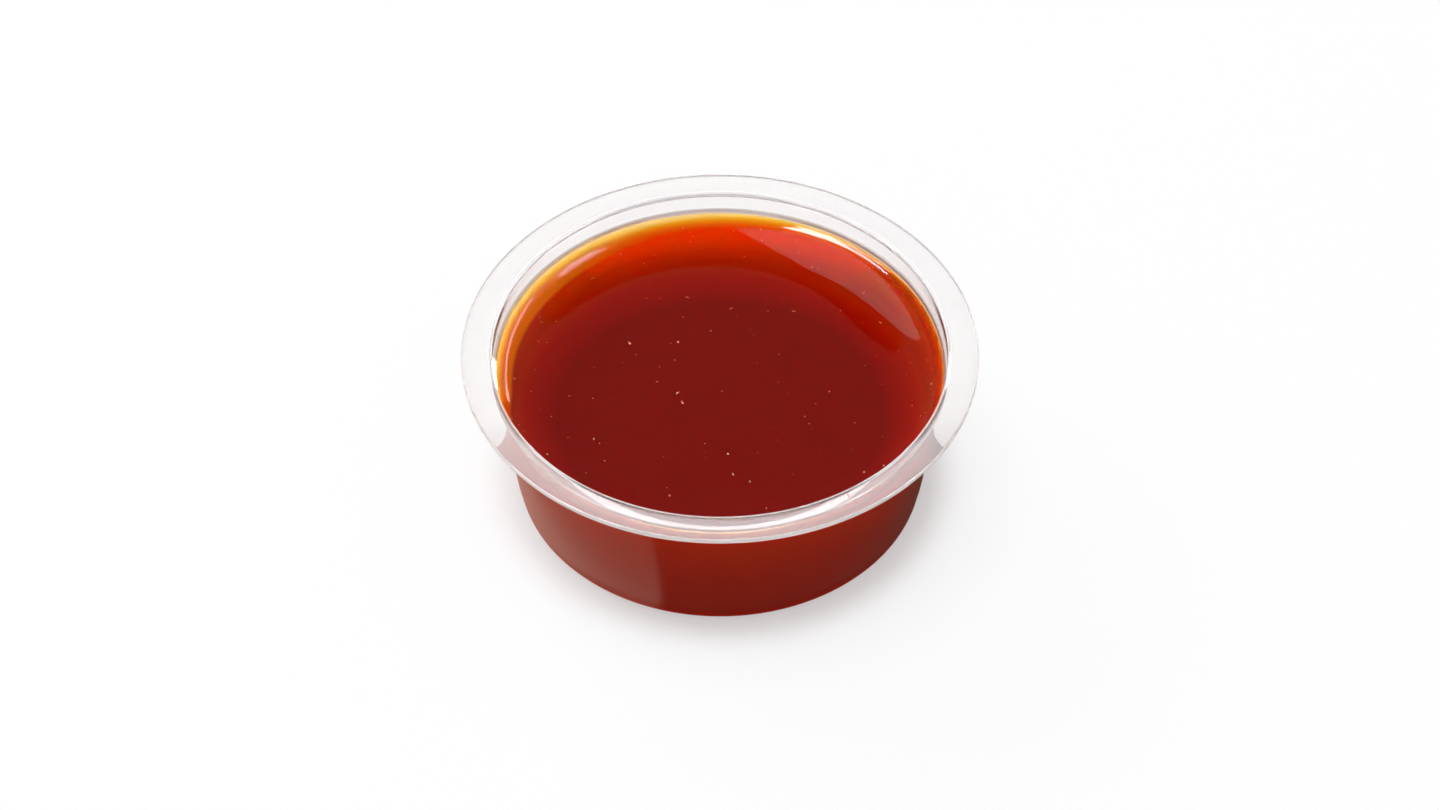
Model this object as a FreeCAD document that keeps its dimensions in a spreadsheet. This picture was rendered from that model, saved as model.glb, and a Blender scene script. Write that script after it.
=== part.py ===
import FreeCAD, Part

import os

import Sketcher

# Sauce portion pot: a thin pot with a flat sealing flange, filled with sauce.
# Millimetres, +Z up, origin at the centre of the underside.

SIZES = [
    ("overall_height", "23.9", "table to the top of the flange"),
    ("mouth_diameter", "62.6", "inside of the flange and of the straight neck"),
    ("flange_width", "4.2", "width of the flat sealing flange"),
    ("flange_thickness", "0.8", "thickness of the flange"),
    ("edge_round", "0.2", "rounding of the flange edges"),
    ("neck_depth", "2.8", "top of the flange to the foot of the neck"),
    ("shoulder_width", "0.5", "how far the shoulder steps in under the neck"),
    ("shoulder_drop", "0.35", "height of that step"),
    ("wall_thickness", "0.35", "thickness of the neck and of the wall"),
    ("base_diameter", "57.0", "outside of the sloping wall, carried down to the table"),
    ("heel_height", "2.6", "height of the small step near the base"),
    ("heel_step", "0.1", "how far the wall steps in below that height"),
    ("base_thickness", "0.45", "thickness of the bottom"),
    ("base_recess", "0.4", "how far the middle of the bottom is raised"),
    ("foot_width", "2.6", "width of the ring that the pot stands on"),
    ("base_corner", "0.8", "outer radius where wall and bottom meet"),
    ("inner_corner", "0.4", "inner radius where wall and bottom meet"),
    ("sauce_drop", "7.1", "top of the flange to the level surface of the sauce"),
    ("meniscus_radius", "1.0", "radius of the curve where the sauce creeps up the wall"),
    ("meniscus_edge", "0.08", "thickness of the sauce at the top of that curve"),
]

doc = FreeCAD.newDocument("SaucePot")
sheet = doc.addObject("Spreadsheet::Sheet", "Sizes")
for row, (name, value, note) in enumerate(SIZES, start=1):
    sheet.set("A%d" % row, name)
    sheet.set("B%d" % row, value)
    sheet.set("C%d" % row, note)
    sheet.setAlias("B%d" % row, name)
doc.recompute()

# Expressions over the sheet: radii from the axis and heights from the table.
RIM_TOP = "Sizes.overall_height"
FLANGE_UNDERSIDE = "(Sizes.overall_height - Sizes.flange_thickness)"
NECK_FOOT = "(Sizes.overall_height - Sizes.neck_depth)"
WALL_TOP = "(%s - Sizes.shoulder_drop)" % NECK_FOOT
HEEL_FOOT = "Sizes.heel_height"
HEEL_TOP = "(Sizes.heel_height + 2 * Sizes.heel_step)"
FOOT_FLOOR = "Sizes.base_thickness"
RAISED_UNDERSIDE = "Sizes.base_recess"
RAISED_FLOOR = "(Sizes.base_recess + Sizes.base_thickness)"
SAUCE_LEVEL = "(Sizes.overall_height - Sizes.sauce_drop)"
MENISCUS_TOP = "(%s + Sizes.meniscus_radius)" % SAUCE_LEVEL

MOUTH = "(Sizes.mouth_diameter / 2)"
NECK_OUTSIDE = "(Sizes.mouth_diameter / 2 + Sizes.wall_thickness)"
RIM = "(Sizes.mouth_diameter / 2 + Sizes.flange_width)"
FOOT_INSIDE = "(Sizes.base_diameter / 2 - Sizes.foot_width)"
RAISED_EDGE = "(%s - Sizes.base_recess)" % FOOT_INSIDE


def wall_outside(height):
    """Radius of the outside of the sloping wall at a height."""
    top = "(%s - Sizes.shoulder_width)" % NECK_OUTSIDE
    base = "Sizes.base_diameter / 2"
    return "(%s + (%s - %s) * %s / %s)" % (base, top, base, height, WALL_TOP)


def wall_inside(height):
    """Radius of the inside of the sloping wall at a height."""
    return "(%s - Sizes.wall_thickness)" % wall_outside(height)


def heel_outside(height):
    """Radius of the outside of the wall below the heel, where it stands further in."""
    return "(%s - Sizes.heel_step)" % wall_outside(height)


def heel_inside(height):
    """Radius of the inside of the wall below the heel."""
    return "(%s - Sizes.heel_step)" % wall_inside(height)


def sauce_edge(height):
    """Radius of the bare edge of the sauce above its curve."""
    return "(%s - Sizes.meniscus_edge)" % wall_inside(height)


# Corners of a profile are (radius, height). AXIS and TABLE stand for nought.
AXIS = None
TABLE = None
FLOOR_CORNER = (heel_inside(FOOT_FLOOR), FOOT_FLOOR)
BASE_CORNER = (heel_outside("0"), TABLE)
MENISCUS_CORNER = (sauce_edge(SAUCE_LEVEL), SAUCE_LEVEL)
FLANGE_CORNERS = [(MOUTH, RIM_TOP), (RIM, RIM_TOP), (RIM, FLANGE_UNDERSIDE)]

# The inside of the pot up to above the heel. The sauce lies against it.
INSIDE = [
    (AXIS, RAISED_FLOOR),
    (RAISED_EDGE, RAISED_FLOOR),
    (FOOT_INSIDE, FOOT_FLOOR),
    FLOOR_CORNER,
    (heel_inside(HEEL_FOOT), HEEL_FOOT),
    (wall_inside(HEEL_TOP), HEEL_TOP),
]

POT_PROFILE = INSIDE + [
    (wall_inside(WALL_TOP), WALL_TOP),
    (MOUTH, NECK_FOOT),
    (MOUTH, RIM_TOP),
    (RIM, RIM_TOP),
    (RIM, FLANGE_UNDERSIDE),
    (NECK_OUTSIDE, FLANGE_UNDERSIDE),
    (NECK_OUTSIDE, NECK_FOOT),
    (wall_outside(WALL_TOP), WALL_TOP),
    (wall_outside(HEEL_TOP), HEEL_TOP),
    (heel_outside(HEEL_FOOT), HEEL_FOOT),
    BASE_CORNER,
    (FOOT_INSIDE, TABLE),
    (RAISED_EDGE, RAISED_UNDERSIDE),
    (AXIS, RAISED_UNDERSIDE),
]

SAUCE_PROFILE = INSIDE + [
    (wall_inside(MENISCUS_TOP), MENISCUS_TOP),
    (sauce_edge(MENISCUS_TOP), MENISCUS_TOP),
    MENISCUS_CORNER,
    (AXIS, SAUCE_LEVEL),
]


def value(expression):
    """The number that an expression over the sheet gives now, nought for AXIS or TABLE."""
    return 0.0 if expression is None else float(sheet.evalExpression(expression))


def origin_feature(body, role):
    for feature in body.Origin.OriginFeatures:
        if feature.Role == role:
            return feature
    raise RuntimeError("the body has no %s" % role)


def hold(sketch, kind, corner, expression, axis):
    """Ties one coordinate of a corner to the sheet, or puts the corner on an axis."""
    if expression is None:
        sketch.addConstraint(Sketcher.Constraint("PointOnObject", corner, 1, axis))
        return
    datum = sketch.addConstraint(Sketcher.Constraint(kind, -1, 1, corner, 1, value(expression)))
    sketch.setExpression("Constraints[%d]" % datum, expression)


def turned_body(name, profile):
    """A body turned about Z from a closed profile."""
    body = doc.addObject("PartDesign::Body", name)
    body.Label = name
    sketch = body.newObject("Sketcher::SketchObject", name + "_profile")
    sketch.AttachmentSupport = [(origin_feature(body, "XZ_Plane"), "")]
    sketch.MapMode = "FlatFace"
    corners = [FreeCAD.Vector(value(radius), value(height), 0) for radius, height in profile]
    for index, corner in enumerate(corners):
        following = corners[(index + 1) % len(corners)]
        sketch.addGeometry(Part.LineSegment(corner, following), False)
    for index in range(len(corners)):
        following = (index + 1) % len(corners)
        sketch.addConstraint(Sketcher.Constraint("Coincident", index, 2, following, 1))
    for index, (radius, height) in enumerate(profile):
        hold(sketch, "DistanceX", index, radius, -2)
        hold(sketch, "DistanceY", index, height, -1)
    turn = body.newObject("PartDesign::Revolution", name + "_turn")
    turn.Profile = sketch
    turn.ReferenceAxis = (sketch, ["V_Axis"])
    turn.Angle = 360.0
    body.Placement = FreeCAD.Placement()
    doc.recompute()
    return body


def round_off(body, name, corners, radius):
    """Rounds the edges that the given corners of the profile leave in the turned body."""
    tip = body.Tip
    edges = []
    for across, up in corners:
        ring = value(across)
        height = value(up)
        matches = [
            "Edge%d" % number
            for number, edge in enumerate(tip.Shape.Edges, start=1)
            if isinstance(edge.Curve, Part.Circle)
            and abs(edge.Curve.Radius - ring) < 1e-4
            and abs(edge.Curve.Center.z - height) < 1e-4
        ]
        if not matches:
            raise RuntimeError("%s: no edge at radius %.3f, height %.3f" % (name, ring, height))
        edges += matches
    fillet = body.newObject("PartDesign::Fillet", name)
    fillet.Base = (tip, edges)
    fillet.setExpression("Radius", radius)
    doc.recompute()


pot = turned_body("pot", POT_PROFILE)
round_off(pot, "flange_edges", FLANGE_CORNERS, "Sizes.edge_round")
round_off(pot, "outer_base_corner", [BASE_CORNER], "Sizes.base_corner")
round_off(pot, "inner_base_corner", [FLOOR_CORNER], "Sizes.inner_corner")

sauce = turned_body("sauce", SAUCE_PROFILE)
round_off(sauce, "meniscus", [MENISCUS_CORNER], "Sizes.meniscus_radius")
round_off(sauce, "sauce_base_corner", [FLOOR_CORNER], "Sizes.inner_corner")

for item in doc.Objects:
    if "Invalid" in item.State or "Error" in item.State:
        raise RuntimeError("%s failed: %s" % (item.Name, item.State))
for body in (pot, sauce):
    shape = body.Shape
    if shape.isNull() or not shape.isValid() or len(shape.Solids) != 1:
        raise RuntimeError("%s isn't one valid solid" % body.Label)

os.makedirs("parts", exist_ok=True)
for body in (pot, sauce):
    body.Shape.exportStep("parts/%s.step" % body.Label)
    print("%-6s %.1f mm3" % (body.Label, body.Shape.Volume))
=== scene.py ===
import math
import random
from collections import namedtuple

import bmesh
import bpy
from bpy.props import FloatProperty, FloatVectorProperty, IntProperty, PointerProperty
from mathutils import Matrix, Vector


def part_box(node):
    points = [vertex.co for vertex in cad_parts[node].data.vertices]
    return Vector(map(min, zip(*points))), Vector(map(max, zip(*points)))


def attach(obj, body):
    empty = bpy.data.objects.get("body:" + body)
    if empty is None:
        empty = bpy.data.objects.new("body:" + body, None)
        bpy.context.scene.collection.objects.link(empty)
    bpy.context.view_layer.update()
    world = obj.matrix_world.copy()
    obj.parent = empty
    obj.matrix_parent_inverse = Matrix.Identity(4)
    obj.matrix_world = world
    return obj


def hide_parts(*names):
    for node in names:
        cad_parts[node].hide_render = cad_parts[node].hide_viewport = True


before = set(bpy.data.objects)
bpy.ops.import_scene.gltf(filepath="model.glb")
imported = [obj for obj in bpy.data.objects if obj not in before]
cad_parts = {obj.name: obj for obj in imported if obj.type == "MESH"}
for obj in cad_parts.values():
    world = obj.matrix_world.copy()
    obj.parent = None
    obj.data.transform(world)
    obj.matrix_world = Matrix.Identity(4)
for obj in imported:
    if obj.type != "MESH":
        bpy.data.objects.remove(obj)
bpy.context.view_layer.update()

bl_info = {
    "name": "Sauce Pot",
    "version": (1, 0, 0),
    "blender": (4, 5, 0),
    "location": "3D View > Sidebar > Sauce Pot",
    "description": "Builds a clear portion pot with a sealing flange, filled with chilli sauce",
    "category": "Add Mesh",
}

POT_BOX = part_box("pot")
MM = 0.001
TINY = 1e-6  # in metres: places nearer than this count as one
WHITE = (1.0, 1.0, 1.0)
PLASTIC_IOR = 1.5
SAUCE_IOR = 1.36
LAMP_DISTANCE = 2.0  # in metres

# Name, degrees left of the front, degrees up, size in millimetres, brightness, what it lights
LAMPS = (
    ("overhead", 100.0, 80.0, (900.0, 900.0), 7.9, "matt"),
    ("side", 135.0, 30.0, (2000.0, 800.0), 3.0, "matt"),
    ("left", 62.4, 30.0, (1780.0, 440.0), 60.0, "gloss"),
    ("right", -74.5, 30.0, (770.0, 800.0), 42.0, "gloss"),
    ("back_right", -122.0, 15.0, (1700.0, 330.0), 36.0, "gloss"),
    ("ceiling", 88.0, 62.0, (2400.0, 1300.0), 1.7, "gloss"),
    ("behind", 180.0, 11.0, (1500.0, 500.0), 18.0, "gloss"),
)

# A corner of an outline that is turned about Z, and how far it is rounded
Corner = namedtuple("Corner", ("radius", "height", "rounding"), defaults=(0,))


def length(name, millimetres, description):
    """A length property, written here in millimetres and kept in metres."""
    return FloatProperty(
        name=name,
        description=description,
        default=millimetres * MM,
        precision=5,
        unit="LENGTH",
    )


def share(name, default, description):
    """A number from nought to one."""
    return FloatProperty(name=name, description=description, default=default, min=0, max=1)


def colour(name, default, description):
    """A colour in linear light."""
    return FloatVectorProperty(
        name=name, description=description, default=default, subtype="COLOR", size=3, min=0, max=1
    )


class PotSizes(bpy.types.PropertyGroup):
    rim_radius: length("Rim radius", POT_BOX[1].x / MM, "Outside of the sealing flange")
    height: length("Height", POT_BOX[1].z / MM, "Table to the top of the flange")
    mouth_radius: length("Mouth radius", 31.3, "Inside of the flange and of the neck")
    flange_thickness: length("Flange thickness", 0.8, "Thickness of the sealing flange")
    edge_round: length("Edge round", 0.2, "Rounding of the flange edges")
    neck_depth: length("Neck depth", 2.8, "Top of the flange to the foot of the neck")
    shoulder_width: length("Shoulder width", 0.5, "How far the shoulder steps in")
    shoulder_drop: length("Shoulder drop", 0.35, "Height of the shoulder step")
    wall: length("Wall", 0.35, "Thickness of the neck and of the wall")
    base_radius: length("Base radius", 28.5, "Outside of the wall, carried down to the table")
    heel_height: length("Heel height", 2.6, "Height of the small step near the base")
    heel_step: length("Heel step", 0.1, "How far the wall steps in below that height")
    base_thickness: length("Base thickness", 0.45, "Thickness of the bottom")
    base_recess: length("Base recess", 0.4, "How far the middle of the bottom is raised")
    foot_width: length("Foot width", 2.6, "Width of the ring that the pot stands on")
    base_corner: length("Base corner", 0.8, "Outer radius where wall and bottom meet")
    inner_corner: length("Inner corner", 0.4, "Inner radius where wall and bottom meet")
    steps: IntProperty(name="Steps", description="Facets around the pot", default=256, min=32)


class SauceSizes(bpy.types.PropertyGroup):
    level: length("Level", 16.8, "Height of the level surface")
    climb: length("Climb", 3.75, "How far the sauce climbs the wall above its level")
    capillary: length("Capillary length", 2.6, "Length that sets how fast the climb levels out")
    cling: length("Cling", 1.5, "How much longer that is where the sauce clings thickest")
    bubbles: IntProperty(name="Bubbles", description="Number of small bubbles", default=170, min=0)
    flecks: IntProperty(name="Flecks", description="Number of flecks of skin", default=30, min=0)
    bite: length("Bite", 0.08, "How far the sauce reaches into the wall")


class Finishes(bpy.types.PropertyGroup):
    film_tint: colour("Film tint", (0.995, 0.8125, 0.0), "What a little of the sauce lets through")
    film_density: FloatProperty(
        name="Film density", description="Absorption per metre of sauce", default=16000.0, min=0
    )
    film_cloud: share("Film cloud", 0.45, "How cloudy the thin film is")
    film_fade: FloatVectorProperty(
        name="Film fade",
        description="Thicknesses at which the film begins to deepen and is all body",
        default=(0.0005, 0.0011),
        size=2,
        unit="LENGTH",
    )
    clearness: share("Clearness", 0.7, "Share of the sauce near the wall that can be seen through")
    clear_reach: length("Clear reach", 10.0, "Distance from the wall at which that share is gone")
    glow: length("Glow", 3.0, "How far red light travels in the body of the sauce")
    haze_colour: colour("Haze colour", (0.79, 0.77, 0.775), "Colour of the milky plastic")
    flange_haze: share("Flange haze", 0.27, "How milky each face of the flange is")
    # Partly real milkiness, partly a painted highlight on the rounded edge of the mouth.
    mouth_haze_and_highlight: share("Corner haze", 0.45, "How much milkier the corner at the mouth is")
    # The rim line is painted light: a painted highlight in front and a painted dark edge, standing
    # in for shade, at the back.
    rim_line: share("Rim line", 0.45, "Strength of the line along the outer edge of the flange")
    rim_shade_back: colour("Rim colour", (0.38, 0.33, 0.33), "Colour of that line at the back")
    rim_highlight_front: colour("Rim front", (0.95, 0.88, 0.85), "Colour of that line in front")
    # A painted dark line that stands in for the shade where the sauce ends on the wall.
    ring: share("Ring", 0.5, "Strength of the dull ring where the sauce ends on the wall")
    contact_shade_colour: colour("Ring colour", (0.42, 0.30, 0.26), "Colour of that ring")
    wall_haze: share("Wall haze", 0.01, "How milky each face of the wall is")


class StageSizes(bpy.types.PropertyGroup):
    floor_size: length("Floor size", 6000.0, "Side of the square floor")
    floor_colour: colour("Floor colour", (0.95, 0.95, 0.95), "Pale floor")
    dome: FloatProperty(name="Dome", description="Brightness of the dome", default=0.42)
    backdrop: FloatProperty(name="Backdrop", description="Brightness that gloss sees", default=0.2)
    backdrop_top: FloatVectorProperty(
        name="Backdrop top",
        description="Sines of the elevations at which the backdrop begins and ends to fade",
        default=(0.772, 0.782),
        size=2,
    )
    near_lift: share("Near lift", 0.42, "Share of plain white in the floor at the foot of the pot")
    far_lift: share("Far lift", 0.82, "Share of plain white in the floor further off")
    lift_edge: FloatVectorProperty(
        name="Lift edge",
        description="Distances from the axis between which the share of white grows",
        default=(0.0285, 0.0355),
        size=2,
        unit="LENGTH",
    )
    # The next four settings paint light and shade on the floor as gloss sees it: a lit floor on the
    # left and a painted shadow of the pot in front and to its right.
    lit_floor_in_gloss: colour("Pale cloth", (0.5, 0.26, 0.2), "The cloth on the left, in gloss")
    painted_shadow_in_gloss: colour("Dark cloth", (0.09, 0.04, 0.03), "The cloth elsewhere, in gloss")
    gloss_shadow_turn: FloatProperty(
        name="Cloth turn",
        description="How far the edge between the cloths is turned to the right of the front",
        default=math.radians(47.5),
        subtype="ANGLE",
    )
    gloss_shadow_edge: FloatVectorProperty(
        name="Cloth edge",
        description="Distances from the axis at which the dark cloth begins and is whole",
        default=(0.0112, 0.0132),
        size=2,
        unit="LENGTH",
    )
    camera_distance: length("Camera distance", 488.3, "From the camera to where it looks")
    camera_elevation: FloatProperty(
        name="Camera elevation",
        description="How far the camera looks down",
        default=math.radians(45.81),
        subtype="ANGLE",
    )
    camera_aim: length("Camera aim", 12.6, "Height on the axis that the camera looks at")
    lens: FloatProperty(
        name="Lens", description="Focal length in millimetres", default=87.5, unit="CAMERA"
    )


class Signal:
    """A shader socket that Python sums can use. Each operator adds its Math node."""

    def __init__(self, tree, socket):
        self.tree = tree
        self.socket = socket

    def maths(self, operation, *values):
        """The result of a Math node on these values."""
        node = self.tree.nodes.new("ShaderNodeMath")
        node.operation = operation
        for socket, value in zip(node.inputs, values):
            plug(self.tree, socket, value)
        return Signal(self.tree, node.outputs["Value"])

    def __add__(self, other):
        return self.maths("ADD", self, other)

    def __sub__(self, other):
        return self.maths("SUBTRACT", self, other)

    def __rsub__(self, other):
        return self.maths("SUBTRACT", other, self)

    def __mul__(self, other):
        return self.maths("MULTIPLY", self, other)

    def __pow__(self, other):
        return self.maths("POWER", self, other)

    __radd__ = __add__
    __rmul__ = __mul__


def plug(tree, socket, value):
    """Links a signal to a socket, or sets the socket to a plain value."""
    if isinstance(value, Signal):
        tree.links.new(value.socket, socket)
    elif socket.type == "RGBA" and len(value) == 3:
        socket.default_value = (*value, 1.0)
    else:
        socket.default_value = value


class Finish:
    """A shader tree, with one method that makes any of its nodes."""

    def __init__(self, tree):
        self.tree = tree
        tree.nodes.clear()

    def node(self, kind, settings=None, inputs=None, output=0):
        """Adds a node: its settings, then the values or links of its sockets. Gives one output."""
        node = self.tree.nodes.new("ShaderNode" + kind)
        for name, value in (settings or {}).items():
            setattr(node, name, value)
        for name, value in (inputs or {}).items():
            plug(self.tree, node.inputs[name], value)
        return Signal(self.tree, node.outputs[output]) if node.outputs else node

    def axes(self, space="Object"):
        """Coordinates as three signals."""
        parts = self.tree.nodes.new("ShaderNodeSeparateXYZ")
        plug(self.tree, parts.inputs[0], self.node("TexCoord", output=space))
        return [Signal(self.tree, socket) for socket in parts.outputs]

    def radius(self):
        """Distance from the axis of the pot."""
        across, along, _ = self.axes()
        return (across * across + along * along) ** 0.5

    def ramp(self, value, start, end, low=0.0, high=1.0):
        """A smooth step from low to high while the value goes from start to end."""
        return self.node(
            "MapRange",
            {"interpolation_type": "SMOOTHSTEP"},
            {
                "Value": value,
                "From Min": start,
                "From Max": end,
                "To Min": low,
                "To Max": high,
            },
        )

    def part(self, value, whole):
        """How large a part of a whole the value is, from nought to one."""
        return self.node("MapRange", inputs={"Value": value, "From Max": whole})

    def colours(self, factor, stops):
        """A colour ramp with (place, colour) stops."""
        node = self.tree.nodes.new("ShaderNodeValToRGB")
        elements = node.color_ramp.elements
        while len(elements) < len(stops):
            elements.new(0.5)
        for element, (place, shade) in zip(elements, stops):
            element.position = place
            element.color = (*shade, 1.0)
        plug(self.tree, node.inputs[0], factor)
        return Signal(self.tree, node.outputs["Color"])

    def mix(self, factor, first, second):
        """A colour between two colours."""
        return self.node(
            "Mix", {"data_type": "RGBA"}, {0: factor, 6: first, 7: second}, output=2
        )

    def blend(self, factor, first, second):
        """A shader between two shaders."""
        return self.node("MixShader", inputs={0: factor, 1: first, 2: second})

    def matt(self, paint):
        """A matt shader."""
        return self.node("BsdfDiffuse", inputs={"Color": paint})

    def veil(self, paint, through):
        """A matt shader that passes a share of the light on to its far side."""
        return self.blend(
            through, self.matt(paint), self.node("BsdfTranslucent", inputs={"Color": paint})
        )

    def clear(self, ior, **more):
        """A clear shader, and what else is set on it."""
        sockets = {
            "Base Color": WHITE,
            "Roughness": 0.02,
            "IOR": ior,
            "Transmission Weight": 1.0,
        }
        return self.node("BsdfPrincipled", inputs={**sockets, **more})

    def light(self, paint, strength=1.0):
        """A shader that gives off light."""
        return self.node("Emission", inputs={"Color": paint, "Strength": strength})

    def noise(self, scale, detail):
        """Soft patches, given by how many there are in a metre and by their detail."""
        return self.node("TexNoise", inputs={"Scale": scale, "Detail": detail})

    def path(self, kind):
        """What is known of a ray."""
        return self.node("LightPath", output=kind)

    def seen(self):
        """One for rays by which the camera sees, and nought for those that only light."""
        either = self.path("Is Camera Ray")
        for kind in ("Is Glossy Ray", "Is Transmission Ray"):
            either = either.maths("MAXIMUM", either, self.path(kind))
        return either

    def mirrored(self):
        """One for rays that a surface has just mirrored, and nought for what is seen through it."""
        return self.path("Is Glossy Ray") * (1 - self.path("Is Transmission Ray"))

    def finish(self, surface, volume=None, kind="Material"):
        """Joins the shaders to the output of the tree."""
        output = self.tree.nodes.new("ShaderNodeOutput" + kind)
        plug(self.tree, output.inputs["Surface"], surface)
        if volume is not None:
            plug(self.tree, output.inputs["Volume"], volume)


def new_finish(piece, name):
    """A new material on a piece, ready for its nodes."""
    material = bpy.data.materials.new(name)
    material.use_nodes = True
    piece.data.materials.append(material)
    return Finish(material.node_tree)


def wall_outside(pot, height):
    """Radius of the outside of the sloping wall at a height."""
    top = pot.mouth_radius + pot.wall - pot.shoulder_width
    top_height = pot.height - pot.neck_depth - pot.shoulder_drop
    return pot.base_radius + (top - pot.base_radius) * height / top_height


def wall_inside(pot, height):
    """Radius of the inside of the sloping wall at a height."""
    return wall_outside(pot, height) - pot.wall


def wall_edge(pot, sauce):
    """Radius at which the sauce ends on the wall."""
    return wall_inside(pot, sauce.level + sauce.climb)


def turned(name, outline, steps):
    """A closed shell turned about Z from the corners of its outline."""
    merge_distance = 1e-7
    sharp_from = math.radians(30)
    bm = bmesh.new()
    points = [bm.verts.new((corner.radius, 0, corner.height)) for corner in outline]
    for start, end in zip(points, points[1:]):
        bm.edges.new((start, end))
    for point, corner in zip(points, outline):
        if not corner.rounding:
            continue
        bmesh.ops.bevel(
            bm,
            geom=[point],
            offset=corner.rounding,
            offset_type="OFFSET",
            affect="VERTICES",
            segments=5,
            profile=0.5,
            material=-1,
        )
    bmesh.ops.spin(
        bm,
        geom=bm.verts[:] + bm.edges[:],
        axis=(0, 0, 1),
        cent=(0, 0, 0),
        angle=math.tau,
        steps=steps,
        use_merge=True,
    )
    bmesh.ops.remove_doubles(bm, verts=bm.verts, dist=merge_distance)
    bmesh.ops.recalc_face_normals(bm, faces=bm.faces)
    for edge in bm.edges:
        edge.smooth = edge.calc_face_angle(0) < sharp_from
    return new_piece(name, bm)


def new_piece(name, bm):
    """An object of a finished bmesh, with smooth faces."""
    for face in bm.faces:
        face.smooth = True
    mesh = bpy.data.meshes.new(name)
    bm.to_mesh(mesh)
    bm.free()
    piece = bpy.data.objects.new(name, mesh)
    bpy.context.scene.collection.objects.link(piece)
    return piece


def base_places(pot):
    """Height of the heel's top, radius inside the foot ring and radius of the raised middle."""
    heel_top = pot.heel_height + 2 * pot.heel_step
    foot_inside = pot.base_radius - pot.foot_width
    return heel_top, foot_inside, foot_inside - pot.base_recess


def pot_outline(pot):
    """Corners of the pot from the axis over its inside and back along its outside."""
    rim = pot.height
    neck_foot = rim - pot.neck_depth
    wall_top = neck_foot - pot.shoulder_drop
    underside = rim - pot.flange_thickness
    neck_outside = pot.mouth_radius + pot.wall
    floor = pot.base_thickness
    raised_floor = pot.base_recess + floor
    heel_top, foot_inside, raised_edge = base_places(pot)
    return [
        Corner(0, raised_floor),
        Corner(raised_edge, raised_floor),
        Corner(foot_inside, floor),
        Corner(wall_inside(pot, floor) - pot.heel_step, floor, pot.inner_corner),
        Corner(wall_inside(pot, pot.heel_height) - pot.heel_step, pot.heel_height),
        Corner(wall_inside(pot, heel_top), heel_top),
        Corner(wall_inside(pot, wall_top), wall_top),
        Corner(pot.mouth_radius, neck_foot),
        Corner(pot.mouth_radius, rim, pot.edge_round),
        Corner(pot.rim_radius, rim, pot.edge_round),
        Corner(pot.rim_radius, underside, pot.edge_round),
        Corner(neck_outside, underside),
        Corner(neck_outside, neck_foot),
        Corner(wall_outside(pot, wall_top), wall_top),
        Corner(wall_outside(pot, heel_top), heel_top),
        Corner(wall_outside(pot, pot.heel_height) - pot.heel_step, pot.heel_height),
        Corner(wall_outside(pot, 0) - pot.heel_step, 0, pot.base_corner),
        Corner(foot_inside, 0),
        Corner(raised_edge, pot.base_recess),
        Corner(0, pot.base_recess),
    ]


def climb_width(rise, climb, capillary):
    """How far from the wall a liquid that climbs it has come down to a height above its level."""

    def reach(ratio):
        return math.acosh(2 / ratio) - math.sqrt(4 - ratio * ratio)

    return capillary * (reach(rise / capillary) - reach(climb / capillary))


def meniscus(sauce, edge_radius):
    """Corners of the curve by which the sauce climbs the wall, from the wall inwards."""
    points = 40
    last_rise = 0.003  # as a share of the climb
    crowding = 1.35  # above one, the points stand closer near the wall
    curve = []
    for index in range(points):
        rise = sauce.climb * last_rise ** ((index / (points - 1)) ** crowding)
        width = climb_width(rise, sauce.climb, sauce.capillary)
        curve.append(Corner(edge_radius - width, sauce.level + rise))
    return curve


def capillary_at(sauce, across, along):
    """The capillary length on one side of the pot. The sauce clings thickest at the back right."""
    thickest = math.radians(50)
    spread = math.radians(32)
    away = math.atan2(across, along) - thickest
    return sauce.capillary + sauce.cling * math.exp(-((away / spread) ** 2))


def surface_height(pot, sauce, across, along):
    """Height of the open surface of the sauce at a place, found by halving."""
    halvings = 30
    least_rise = 1e-7
    width = wall_edge(pot, sauce) - math.hypot(across, along)
    capillary = capillary_at(sauce, across, along)
    low, high = least_rise, sauce.climb
    for _ in range(halvings):
        middle = (low + high) / 2
        if climb_width(middle, sauce.climb, capillary) > width:
            low = middle
        else:
            high = middle
    return sauce.level + low


def scattered(name, pot, sauce, beads):
    """One mesh of small beads on the sauce, each (distance from the wall, angle, sizes, turn)."""
    bm = bmesh.new()
    for inwards, angle, sizes, turn in beads:
        radius = wall_edge(pot, sauce) - inwards
        across = radius * math.sin(angle)
        along = radius * math.cos(angle)
        place = Matrix.Translation((across, along, surface_height(pot, sauce, across, along)))
        shape = place @ Matrix.Rotation(turn, 4, "Z") @ Matrix.Diagonal((*sizes, 1.0))
        bmesh.ops.create_uvsphere(bm, u_segments=8, v_segments=5, radius=1.0, matrix=shape)
    return new_piece(name, bm)


def over_the_middle(rng):
    """A distance from the wall, drawn so that beads lie evenly over the middle of the sauce."""
    furthest, spread = 30, 27  # in millimetres
    return (furthest - spread * math.sqrt(rng.random())) * MM


def bubble_beads(sauce):
    """Bubbles, most of them close to the wall and most of them small."""
    share_by_wall = 0.72
    nearest = 0.7 * MM
    usual = 1.5 * MM
    furthest = 26 * MM
    share_small = 0.9
    small = (0.04, 0.09)  # radii in millimetres
    large = (0.1, 0.18)
    flatness = 0.8
    rng = random.Random(7)
    beads = []
    for _ in range(sauce.bubbles):
        by_wall = rng.random() < share_by_wall
        inwards = nearest + rng.expovariate(1 / usual) if by_wall else 0
        if not by_wall or inwards > furthest:
            inwards = over_the_middle(rng)
        size = rng.uniform(*(small if rng.random() < share_small else large)) * MM
        beads.append((inwards, rng.uniform(0, math.tau), (size, size, size * flatness), 0.0))
    return beads


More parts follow.
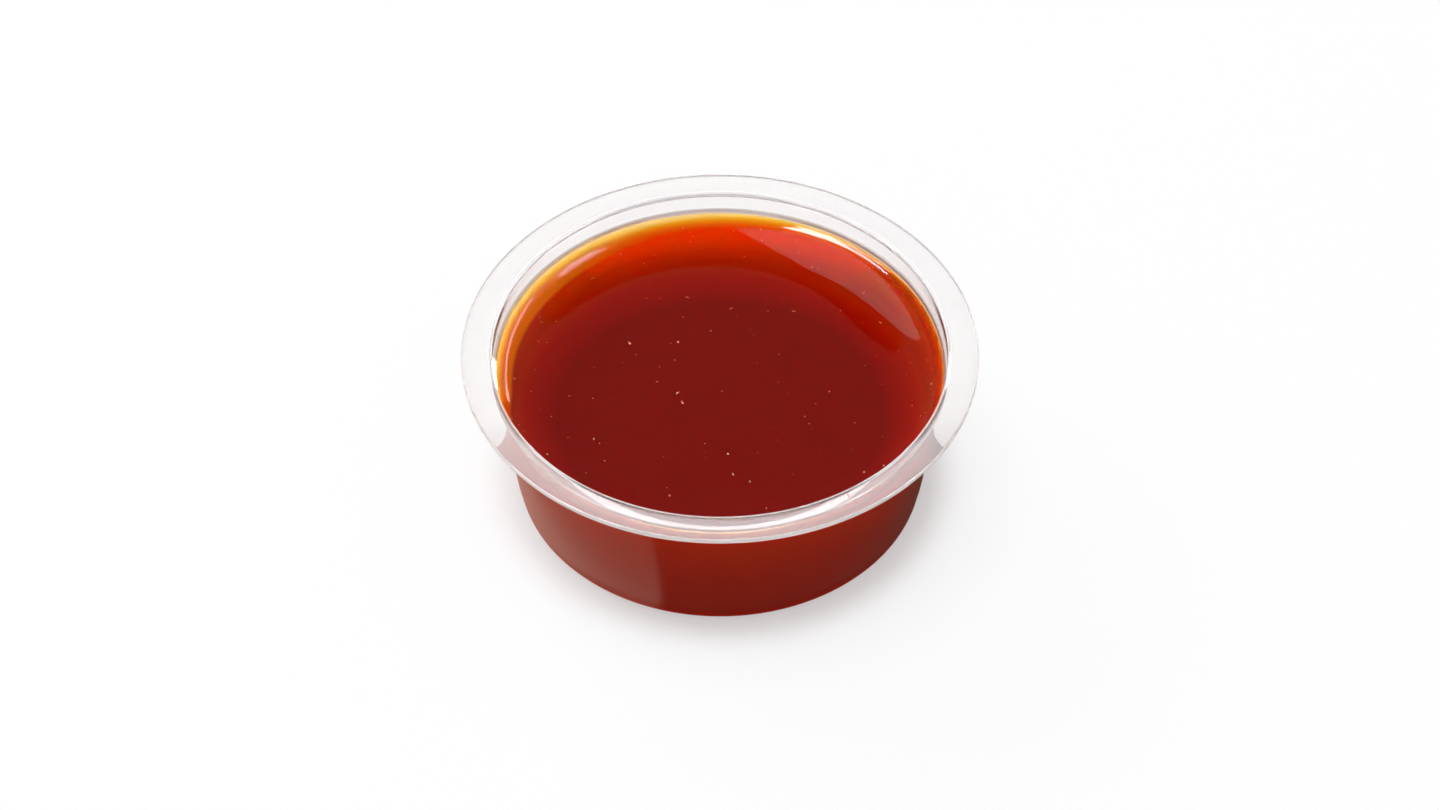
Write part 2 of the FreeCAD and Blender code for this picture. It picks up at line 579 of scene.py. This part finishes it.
def fleck_beads(sauce):
    """Flecks of chilli skin, longer than wide and nearly flat."""
    half_lengths = (0.12, 0.36)  # in millimetres
    slimness = (0.25, 0.5)
    half_thickness = 0.03 * MM
    rng = random.Random(11)
    beads = []
    for _ in range(sauce.flecks):
        inwards = over_the_middle(rng)
        half_length = rng.uniform(*half_lengths) * MM
        sizes = (half_length, half_length * rng.uniform(*slimness), half_thickness)
        beads.append((inwards, rng.uniform(0, math.tau), sizes, rng.uniform(0, math.pi)))
    return beads


def cling(piece, pot, sauce):
    """Thickens the climb at the back right, where the sauce last ran against the wall."""
    edge = wall_edge(pot, sauce)
    for vertex in piece.data.vertices:
        across, along, height = vertex.co
        radius = math.hypot(across, along)
        rise = height - sauce.level
        if rise < TINY or radius > edge - TINY:
            continue
        capillary = capillary_at(sauce, across, along)
        wider = (edge - climb_width(rise, sauce.climb, capillary)) / radius
        vertex.co.x *= wider
        vertex.co.y *= wider


def sauce_outline(pot, sauce):
    """Corners of the sauce from the axis over the bottom, up the wall and in along its curve."""
    bite = sauce.bite
    raised_floor = pot.base_recess + pot.base_thickness - bite
    floor = pot.base_thickness - bite
    floor_edge = wall_inside(pot, pot.base_thickness) - pot.heel_step + bite
    edge = wall_edge(pot, sauce)
    heel_top, foot_inside, raised_edge = base_places(pot)
    return [
        Corner(0, raised_floor),
        Corner(raised_edge, raised_floor),
        Corner(foot_inside, floor),
        Corner(floor_edge, floor, pot.inner_corner),
        Corner(wall_inside(pot, pot.heel_height) - pot.heel_step + bite, pot.heel_height),
        Corner(wall_inside(pot, heel_top) + bite, heel_top),
        Corner(edge + bite, sauce.level + sauce.climb),
        *meniscus(sauce, edge),
        Corner(0, sauce.level),
    ]


def clear_plastic(piece, pot, sauce, finishes):
    """Clear moulded plastic, with a painted highlight and painted shade along its rim and a painted
    dark line where the sauce ends.
    """
    ring_lower = 0.1 * MM
    ring_upper = 0.35 * MM
    ring_ends = 0.5 * MM
    line_starts = 0.22 * MM
    line_whole = 0.05 * MM
    back_from = 12 * MM
    finish = new_finish(piece, "clear_plastic")
    _, along, height = finish.axes()
    scuffs = finish.noise(scale=90.0, detail=2.0)
    bump = finish.node("Bump", inputs={"Strength": 0.05, "Distance": 0.00005, "Height": scuffs})
    glass = finish.clear(PLASTIC_IOR, Normal=bump)
    milky = finish.veil(finishes.haze_colour, through=0.5)
    plastic = finish.blend(plastic_haze(finish, pot, finishes), glass, milky)
    # Painted shade: a dark line on the wall where the sauce ends.
    top = sauce.level + sauce.climb
    above = finish.ramp(height, top, top + ring_lower)
    below = finish.ramp(height, top + ring_ends, top + ring_upper)
    plastic = finish.blend(
        finishes.ring * (above * below), plastic, finish.matt(finishes.contact_shade_colour)
    )
    # Painted highlight on the rim in front, painted shade on it at the back.
    line = finish.ramp(finish.radius(), pot.rim_radius - line_starts, pot.rim_radius - line_whole)
    backwards = finish.ramp(along, -back_from, back_from)
    rim_highlight_and_shade = finish.mix(backwards, finishes.rim_highlight_front, finishes.rim_shade_back)
    plastic = finish.blend(finishes.rim_line * line, plastic, finish.matt(rim_highlight_and_shade))
    shadow = finish.path("Is Shadow Ray")
    finish.finish(finish.blend(shadow, plastic, finish.node("BsdfTransparent")))


def plastic_haze(finish, pot, finishes):
    """How milky the plastic is: a little in the wall, more in the flange, most at the mouth, where
    the paler corner is also a painted highlight on its rounded edge.
    """
    evenness = 0.94
    patchiness = 0.12
    corner_starts = 0.5 * MM
    corner_whole = 0.2 * MM
    radius = finish.radius()
    height = finish.axes()[2]
    neck_outside = pot.mouth_radius + pot.wall
    haze = finish.ramp(
        radius,
        neck_outside,
        neck_outside + pot.wall,
        finishes.wall_haze,
        finishes.flange_haze,
    )
    haze = haze * (evenness + patchiness * finish.noise(scale=140.0, detail=3.0))
    corner = finish.ramp(radius, pot.mouth_radius + corner_starts, pot.mouth_radius + corner_whole)
    corner = corner * finish.ramp(height, pot.height - corner_starts, pot.height - corner_whole)
    return haze + finishes.mouth_haze_and_highlight * corner


def chilli_sauce(piece, pot, sauce, finishes):
    """Red liquid: clear where it is a thin film on the wall, and a deep glowing body below."""
    # Painted light: on the left the film reaches further from the wall and is cloudier with its
    # bright paint, as if lit from that side.
    left_lit_reach = 0.9 * MM
    left_lit_cloud = 0.4
    side_deep = 1.6 * MM
    side_clear = 2.4 * MM
    finish = new_finish(piece, "chilli_sauce")
    height = finish.axes()[2]
    on_left, on_right, in_front = film_sides(finish, pot, sauce)
    film = film_paint(finish, sauce, on_left, on_right, in_front)
    thickness, opened = film_depth(finish, pot, sauce)

    open_depth = finish.ramp(thickness - left_lit_reach * on_left, *finishes.film_fade)
    from_inside = finish.node("NewGeometry", output="Backfacing")
    cloud = (finishes.film_cloud + left_lit_cloud * on_left) * (1 - open_depth) * (1 - from_inside)
    thin = finish.blend(cloud, finish.clear(SAUCE_IOR), finish.veil(film, through=0.72))

    surface = sauce_body(finish, finishes, surface_glow_paint(finish, pot, sauce), specular=0.5)
    side = sauce_body(finish, finishes, side_paint(finish, sauce), specular=0.0)
    lit = 1 - finish.part(from_wall(finish, pot, sauce), finishes.clear_reach)
    open_depth = open_depth * (1 - finishes.clearness * lit)
    side_depth = finish.ramp(height, sauce.level + side_clear, sauce.level + side_deep)
    deep = (side_depth + opened * (open_depth - side_depth)) * (1 - from_inside)
    absorption = finish.node(
        "VolumeAbsorption",
        inputs={"Color": finishes.film_tint, "Density": finishes.film_density},
    )
    finish.finish(finish.blend(deep, thin, finish.blend(opened, side, surface)), absorption)


def film_sides(finish, pot, sauce):
    """Masks for the left of the film, short of the front, for its right and for its front."""
    left_from = -10 * MM
    left_whole = -2 * MM
    edge = wall_edge(pot, sauce)
    right_from = 0.4 * edge
    front_from = 0.3 * edge
    whole = 0.8 * edge
    across, along, _ = finish.axes()
    on_left = finish.ramp(across, 0.0, -whole) * finish.ramp(along, left_from, left_whole)
    on_right = finish.ramp(across, right_from, whole)
    in_front = finish.ramp(along, -front_from, -whole)
    return on_left, on_right, in_front


def film_paint(finish, sauce, on_left, on_right, in_front):
    """Colours of the film up the wall, yellower with painted light on the left, redder with painted
    shade on the right and in front.
    """
    painted_light_left = 0.36
    painted_shade_right = 0.35
    painted_shade_front = 0.5
    # Painted light makes the film yellower on the left; painted shade makes it redder on the right
    # and in front.
    painted_light_and_shade = painted_light_left * on_left - painted_shade_right * on_right - painted_shade_front * in_front
    return finish.colours(
        finish.part(finish.axes()[2] - sauce.level, sauce.climb) + painted_light_and_shade,
        [
            (0.36, (0.85, 0.10, 0.001)),
            (0.58, (1.0, 0.34, 0.002)),
            (0.82, (1.0, 0.62, 0.03)),
            (1.0, (1.0, 0.82, 0.35)),
        ],
    )


def film_depth(finish, pot, sauce):
    """Distance from the inside of the wall, and one on the open surface but nought elsewhere."""
    wall_side = -0.6 * sauce.bite
    open_side = -0.2 * sauce.bite
    bottom_ends = 0.5 * sauce.level
    surface_starts = 0.6 * sauce.level
    height = finish.axes()[2]
    foot = wall_inside(pot, 0)
    slope = (wall_inside(pot, sauce.level) - foot) / sauce.level
    thickness = foot + height * slope - finish.radius()
    opened = finish.ramp(thickness, wall_side, open_side)
    return thickness, opened * finish.ramp(height, bottom_ends, surface_starts)


def sauce_body(finish, finishes, paint, specular):
    """The deep part of the sauce, in which red light travels furthest."""
    return finish.node(
        "BsdfPrincipled",
        {"subsurface_method": "RANDOM_WALK"},
        {
            "Base Color": paint,
            "Roughness": 0.03,
            "IOR": SAUCE_IOR,
            "Specular IOR Level": specular,
            "Subsurface Weight": 1.0,
            "Subsurface Scale": finishes.glow,
            "Subsurface Radius": (1.0, 0.12, 0.05),
            "Subsurface Anisotropy": 0.8,
        },
    )


def from_wall(finish, pot, sauce):
    """Distance from the wall, counted longer away from the back, where light shines through."""
    lengthened = 2.6
    added_in_front = 20 * MM
    edge = wall_edge(pot, sauce)
    along = finish.axes()[1]
    forwards = finish.part(edge - along, 2 * edge)
    return (edge - finish.radius()) * (1 + lengthened * forwards) + added_in_front * forwards**3


def surface_glow_paint(finish, pot, sauce):
    """Colours of the open surface: a painted glow of light near the wall, widest towards the back,
    fading inwards to dark red, faintly mottled.
    """
    reach = 24 * MM
    mottling = 0.1
    # The bright orange by the wall is a painted glow of light that comes in through the wall.
    paint = finish.colours(
        finish.part(from_wall(finish, pot, sauce), reach),
        [
            (0.0, (1.0, 0.25, 0.002)),
            (0.04, (0.95, 0.17, 0.002)),
            (0.12, (0.74, 0.11, 0.0012)),
            (0.21, (0.54, 0.055, 0.001)),
            (0.33, (0.39, 0.028, 0.0006)),
            (0.54, (0.33, 0.011, 0.0004)),
            (0.79, (0.27, 0.006, 0.0004)),
            (1.0, (0.215, 0.005, 0.0003)),
        ],
    )
    patches = finish.noise(scale=420.0, detail=4.0)
    mottle = mottling * finish.ramp(patches, start=0.4, end=0.7)
    return finish.mix(mottle, paint, (0.55, 0.03, 0.002))


def side_paint(finish, sauce):
    """Colours of the sauce against the wall, from the table up."""
    return finish.colours(
        finish.part(finish.axes()[2], sauce.level),
        [
            (0.0, (0.50, 0.030, 0.002)),
            (0.5, (0.52, 0.030, 0.0015)),
            (1.0, (0.62, 0.052, 0.006)),
        ],
    )


def bubble_skin(piece):
    """Glossy skins of bubbles, some paler than others."""
    finish = new_finish(piece, "bubble_skin")
    patches = finish.noise(scale=900.0, detail=1.0)
    paint = finish.mix(patches, (0.62, 0.06, 0.012), (0.98, 0.42, 0.16))
    wet_skin(finish, paint, roughness=0.08, ior=SAUCE_IOR, coat=0.6)


def chilli_skin(piece):
    """Wet flecks from orange to brown."""
    finish = new_finish(piece, "chilli_skin")
    patches = finish.noise(scale=1500.0, detail=2.0)
    paint = finish.mix(patches, (0.30, 0.03, 0.006), (0.85, 0.20, 0.05))
    wet_skin(finish, paint, roughness=0.25, ior=1.45, coat=0.5)


def wet_skin(finish, paint, roughness, ior, coat):
    """Ends a finish with a solid colour under a wet coat."""
    sockets = {"Base Color": paint, "Roughness": roughness, "IOR": ior, "Coat Weight": coat}
    finish.finish(finish.node("BsdfPrincipled", inputs=sockets))


class SAUCEPOT_OT_pot(bpy.types.Operator):
    """Make the clear pot"""

    bl_idname = "saucepot.pot"
    bl_label = "Clear pot"

    def execute(self, context):
        pot = context.scene.sauce_pot
        sauce = context.scene.sauce_filling
        piece = turned("pot_shell", pot_outline(pot), pot.steps)
        clear_plastic(piece, pot, sauce, context.scene.sauce_finishes)
        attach(piece, "root")
        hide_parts("pot")
        return {"FINISHED"}


class SAUCEPOT_OT_sauce(bpy.types.Operator):
    """Make the sauce"""

    bl_idname = "saucepot.sauce"
    bl_label = "Sauce"

    def execute(self, context):
        pot = context.scene.sauce_pot
        sauce = context.scene.sauce_filling
        piece = turned("sauce_fill", sauce_outline(pot, sauce), pot.steps)
        cling(piece, pot, sauce)
        chilli_sauce(piece, pot, sauce, context.scene.sauce_finishes)
        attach(piece, "root")
        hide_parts("sauce")
        return {"FINISHED"}


class SAUCEPOT_OT_bubbles(bpy.types.Operator):
    """Make the small bubbles on the sauce"""

    bl_idname = "saucepot.bubbles"
    bl_label = "Bubbles"

    def execute(self, context):
        sauce = context.scene.sauce_filling
        piece = scattered("bubbles", context.scene.sauce_pot, sauce, bubble_beads(sauce))
        bubble_skin(piece)
        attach(piece, "root")
        return {"FINISHED"}


class SAUCEPOT_OT_flecks(bpy.types.Operator):
    """Make the flecks of chilli skin on the sauce"""

    bl_idname = "saucepot.flecks"
    bl_label = "Chilli flecks"

    def execute(self, context):
        sauce = context.scene.sauce_filling
        piece = scattered("chilli_flecks", context.scene.sauce_pot, sauce, fleck_beads(sauce))
        chilli_skin(piece)
        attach(piece, "root")
        return {"FINISHED"}


class SAUCEPOT_OT_stage(bpy.types.Operator):
    """Make the floor, the lamps, the world and the camera"""

    bl_idname = "saucepot.stage"
    bl_label = "Stage"

    def execute(self, context):
        stage = context.scene.sauce_stage
        add_floor(stage)
        add_world(stage)
        for lamp in LAMPS:
            add_lamp(*lamp)
        add_camera(stage)
        context.scene.view_settings.view_transform = "Standard"
        return {"FINISHED"}


def add_floor(stage):
    """A square floor that is part of the stage."""
    bm = bmesh.new()
    bmesh.ops.create_grid(bm, x_segments=1, y_segments=1, size=stage.floor_size / 2)
    floor = new_piece("floor", bm)
    paint_floor(new_finish(floor, "floor"), stage)


def paint_floor(finish, stage):
    """Plain pale floor, which keeps a shadow near the pot and is nearly plain white further off.

    Gloss sees it with painted light and shade: a lit, brownish floor on the left, and a painted
    shadow of the pot in front of it and to its right.
    """
    lift = finish.ramp(finish.radius(), *stage.lift_edge, stage.near_lift, stage.far_lift)
    floor = finish.blend(lift * finish.seen(), finish.matt(stage.floor_colour), finish.light(WHITE))
    # In gloss the floor glows with painted light on the left and holds a painted shadow of the pot
    # in front and to its right.
    across, along, _ = finish.axes()
    beside = across * math.sin(stage.gloss_shadow_turn) - along * math.cos(stage.gloss_shadow_turn)
    mirrored_floor = finish.blend(
        finish.ramp(beside, *stage.gloss_shadow_edge),
        finish.light(stage.lit_floor_in_gloss),
        finish.light(stage.painted_shadow_in_gloss),
    )
    finish.finish(finish.blend(finish.mirrored(), floor, mirrored_floor))


def add_world(stage):
    """An even dome, which gloss sees as a dim backdrop with darkness above it."""
    world = bpy.data.worlds.new("room")
    bpy.context.scene.world = world
    world.use_nodes = True
    room = Finish(world.node_tree)
    rise = room.axes("Generated")[2]
    backdrop = room.ramp(rise, *stage.backdrop_top, stage.backdrop, 0.0)
    gloss = room.mirrored()
    strength = gloss * backdrop + (1 - gloss) * stage.dome
    light = room.node("Background", inputs={"Color": WHITE, "Strength": strength})
    room.finish(light, kind="World")


def add_lamp(name, left_of_front, elevation, size, brightness, lights):
    """A flat soft box that faces the pot, and lights matt surfaces only or gloss only.

    Angles are in degrees, sizes in millimetres, and brightness is a share of white. A box for
    gloss is seen in it at first hand alone, and so lights nothing else.
    """
    lamp = bpy.data.lights.new(name, "AREA")
    lamp.shape = "RECTANGLE"
    lamp.size = size[0] * MM
    lamp.size_y = size[1] * MM
    lamp.energy = brightness * lamp.size * lamp.size_y * math.pi
    if lights == "gloss":
        lamp.use_nodes = True
        glow = Finish(lamp.node_tree)
        second_hand = glow.part(glow.path("Diffuse Depth"), 1.0)
        glow.finish(glow.light(WHITE, 1 - second_hand), kind="Light")
    turn = math.radians(-90.0 - left_of_front)
    up = math.radians(elevation)
    place = Vector((math.cos(up) * math.cos(turn), math.cos(up) * math.sin(turn), math.sin(up)))
    holder = bpy.data.objects.new(name, lamp)
    holder.location = place * LAMP_DISTANCE
    holder.rotation_euler = place.to_track_quat("Z", "Y").to_euler()
    holder.visible_glossy = lights != "matt"
    holder.visible_diffuse = lights != "gloss"
    holder.visible_transmission = lights != "gloss"
    bpy.context.scene.collection.objects.link(holder)


def add_camera(stage):
    """The camera in front of the pot, looking down at it."""
    camera = bpy.data.cameras.new("camera")
    camera.lens = stage.lens
    camera.sensor_width = 36.0
    camera.clip_start = 0.01
    holder = bpy.data.objects.new("camera", camera)
    down = stage.camera_elevation
    back = Vector((0, -math.cos(down), math.sin(down)))
    holder.location = Vector((0, 0, stage.camera_aim)) + back * stage.camera_distance
    holder.rotation_euler = back.to_track_quat("Z", "Y").to_euler()
    bpy.context.scene.collection.objects.link(holder)
    bpy.context.scene.camera = holder


class SAUCEPOT_PT_panel(bpy.types.Panel):
    """Lists the pieces of the sauce pot"""

    bl_idname = "SAUCEPOT_PT_panel"
    bl_label = "Sauce Pot"
    bl_space_type = "VIEW_3D"
    bl_region_type = "UI"
    bl_category = "Sauce Pot"

    def draw(self, context):
        for operator in OPERATORS:
            self.layout.operator(operator.bl_idname)


OPERATORS = (
    SAUCEPOT_OT_pot,
    SAUCEPOT_OT_sauce,
    SAUCEPOT_OT_bubbles,
    SAUCEPOT_OT_flecks,
    SAUCEPOT_OT_stage,
)
GROUPS = {
    "sauce_pot": PotSizes,
    "sauce_filling": SauceSizes,
    "sauce_finishes": Finishes,
    "sauce_stage": StageSizes,
}


def register():
    """Adds the settings, the operators and the panel."""
    for group in GROUPS.values():
        bpy.utils.register_class(group)
    for name, group in GROUPS.items():
        setattr(bpy.types.Scene, name, PointerProperty(type=group))
    for operator in OPERATORS:
        bpy.utils.register_class(operator)
    bpy.utils.register_class(SAUCEPOT_PT_panel)


def unregister():
    """Takes them out again."""
    bpy.utils.unregister_class(SAUCEPOT_PT_panel)
    for operator in reversed(OPERATORS):
        bpy.utils.unregister_class(operator)
    for name, group in reversed(GROUPS.items()):
        delattr(bpy.types.Scene, name)
        bpy.utils.unregister_class(group)


def main():
    """Makes the pot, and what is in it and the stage."""
    register()
    bpy.ops.saucepot.pot()
    bpy.ops.saucepot.sauce()
    bpy.ops.saucepot.bubbles()
    bpy.ops.saucepot.flecks()
    bpy.ops.saucepot.stage()


if __name__ == "__main__":
    main()
